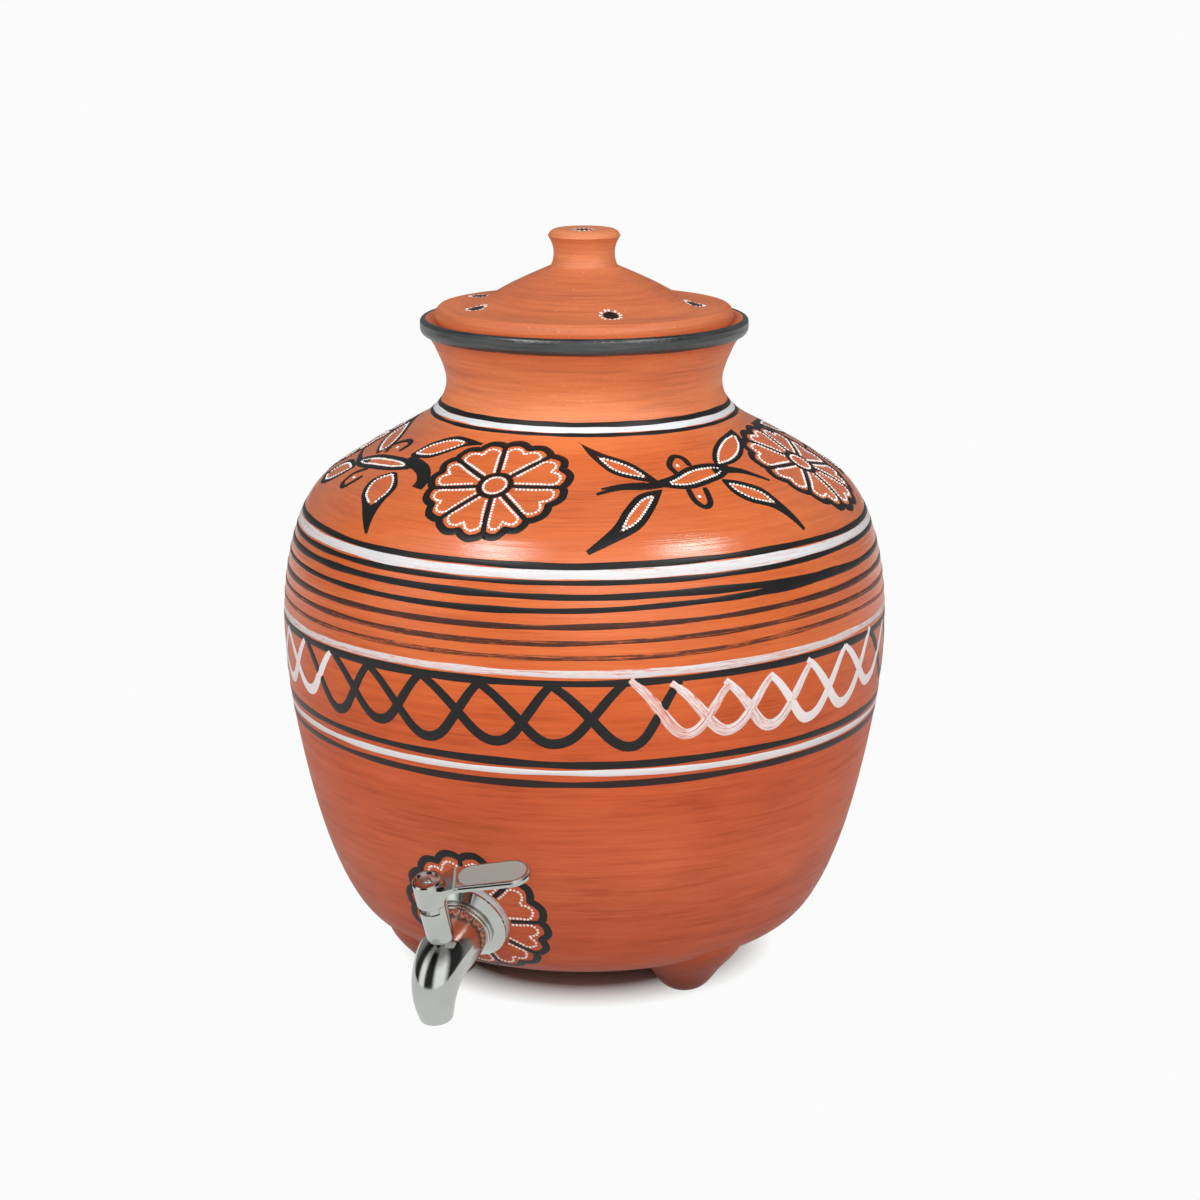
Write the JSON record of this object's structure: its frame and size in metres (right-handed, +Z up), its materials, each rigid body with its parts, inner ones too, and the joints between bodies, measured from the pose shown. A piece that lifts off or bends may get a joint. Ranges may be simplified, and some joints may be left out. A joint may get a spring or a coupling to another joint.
{
  "type": "clay water pot with tap",
  "caption": "Round-bellied terracotta drinking-water pot on clay feet, with a lift-off knobbed lid and a quarter-turn steel lever tap low on its wall.",
  "frame": {"origin": "on the pot's axis, in the plane its feet stand on", "axes": "+Z up along the pot's axis; -Y towards the tap; +X to the right of someone who faces the tap, where the shut lever points"},
  "size_m": [0.28, 0.3037, 0.3412],
  "materials": {
    "clay": "unglazed fired terracotta, matt",
    "polished_steel": "polished stainless steel",
    "plain_steel": "turned stainless steel",
    "silicone": "translucent pale silicone",
    "o_ring_rubber": "black nitrile rubber",
    "ptfe": "white PTFE"
  },
  "bodies": {
    "pot": {"pot_bowl": "clay", "pot_shoulder": "clay", "pot_neck": "clay", "right_front_foot": "clay", "right_rear_foot": "clay", "left_rear_foot": "clay", "left_front_foot": "clay", "tap_shank": "polished_steel", "tap_body": "polished_steel", "bonnet": "polished_steel", "wall_flange": "polished_steel", "back_nut": "plain_steel", "plate_washer": "plain_steel", "seal_retainer": "plain_steel", "outer_washer": "silicone", "inner_washer": "silicone", "front_seal": "ptfe", "rear_seal": "ptfe", "thrust_ring": "ptfe", "bonnet_gasket": "ptfe"},
    "lid": {"lid": "clay"},
    "handle": {"tap_handle": "polished_steel", "handle_cap": "polished_steel", "handle_screw": "plain_steel", "valve_stem": "plain_steel", "valve_ball": "polished_steel", "upper_o_ring": "o_ring_rubber", "lower_o_ring": "o_ring_rubber"}
  },
  "joints": [
    {"name": "lid_lift", "type": "slide", "parent": "pot", "child": "lid", "axis": [0, 0, 1], "range_m": [0, 0.1]},
    {"name": "handle_turn", "type": "hinge", "parent": "pot", "child": "handle", "pos_m": [0, -0.14206, 0.04085], "axis": [0, 0.3676, -0.93], "range_deg": [0, 90]}
  ]
}
